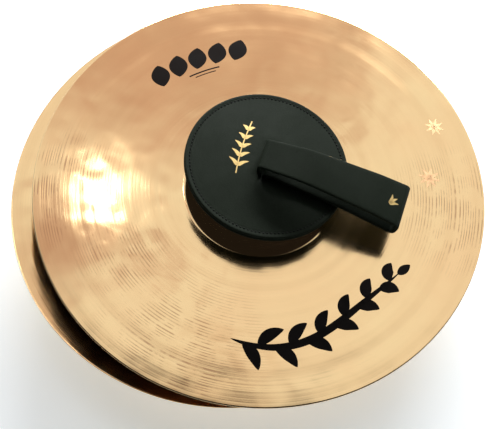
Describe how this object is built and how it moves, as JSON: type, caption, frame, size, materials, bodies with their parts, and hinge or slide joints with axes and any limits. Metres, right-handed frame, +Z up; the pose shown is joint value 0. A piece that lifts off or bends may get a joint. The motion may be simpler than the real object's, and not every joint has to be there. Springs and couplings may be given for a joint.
{
  "type": "pair of hand cymbals",
  "caption": "Pair of bronze hand cymbals lying face to face, each with a raised bell, a round leather pad and a looped leather hand strap knotted inside the bell.",
  "frame": {"origin": "on the axis of the lower cymbal, on the underside of its flattened strap, where the pair rests on a surface", "axes": "+Z up along the lower cymbal's axis, out of its hollow side; +X towards the side where the two rims meet"},
  "size_m": [0.3759, 0.3556, 0.1315],
  "materials": {
    "bronze": "lathed and polished bronze",
    "leather": "black leather, low gloss",
    "felt": "wool felt",
    "thread": "waxed black thread"
  },
  "bodies": {
    "lower_cymbal": {"lower_cymbal_plate": "bronze"},
    "lower_handle": {"lower_pad_base_leather": "leather", "lower_pad_felt": "felt", "lower_pad_top_leather": "leather", "lower_pad_stitching": "thread", "lower_strap_root": "leather", "lower_knot_tail_1": "leather", "lower_knot_tail_2": "leather", "lower_knot_tail_3": "leather", "lower_knot_tail_4": "leather"},
    "lower_strap": {"lower_strap_loop": "leather"},
    "upper_cymbal": {"upper_cymbal_plate": "bronze"},
    "upper_handle": {"upper_pad_base_leather": "leather", "upper_pad_felt": "felt", "upper_pad_top_leather": "leather", "upper_pad_stitching": "thread", "upper_strap_root": "leather", "upper_knot_tail_1": "leather", "upper_knot_tail_2": "leather", "upper_knot_tail_3": "leather", "upper_knot_tail_4": "leather"},
    "upper_strap": {"upper_strap_loop": "leather"}
  },
  "joints": [
    {"name": "upper_lift", "type": "slide", "parent": "lower_cymbal", "child": "upper_cymbal", "axis": [0, 0, 1], "range_m": [0, 0.2]},
    {"name": "upper_handle_spin", "type": "hinge", "parent": "upper_cymbal", "child": "upper_handle", "pos_m": [0.021, 0, 0.06797], "axis": [0.0952, 0, 0.9955], "continuous": true},
    {"name": "upper_strap_swing", "type": "hinge", "parent": "upper_handle", "child": "upper_strap", "pos_m": [0.02891, 0.00291, 0.12469], "axis": [-0.0781, -0.9969, 0.0075], "range_deg": [0, 145]},
    {"name": "lower_handle_spin", "type": "hinge", "parent": "lower_cymbal", "child": "lower_handle", "pos_m": [0, 0, 0], "axis": [0, 0, 1], "continuous": true},
    {"name": "lower_strap_swing", "type": "hinge", "parent": "lower_handle", "child": "lower_strap", "pos_m": [-0.006, 0, 0.0032], "axis": [0, 1, 0], "range_deg": [0, 150]}
  ]
}
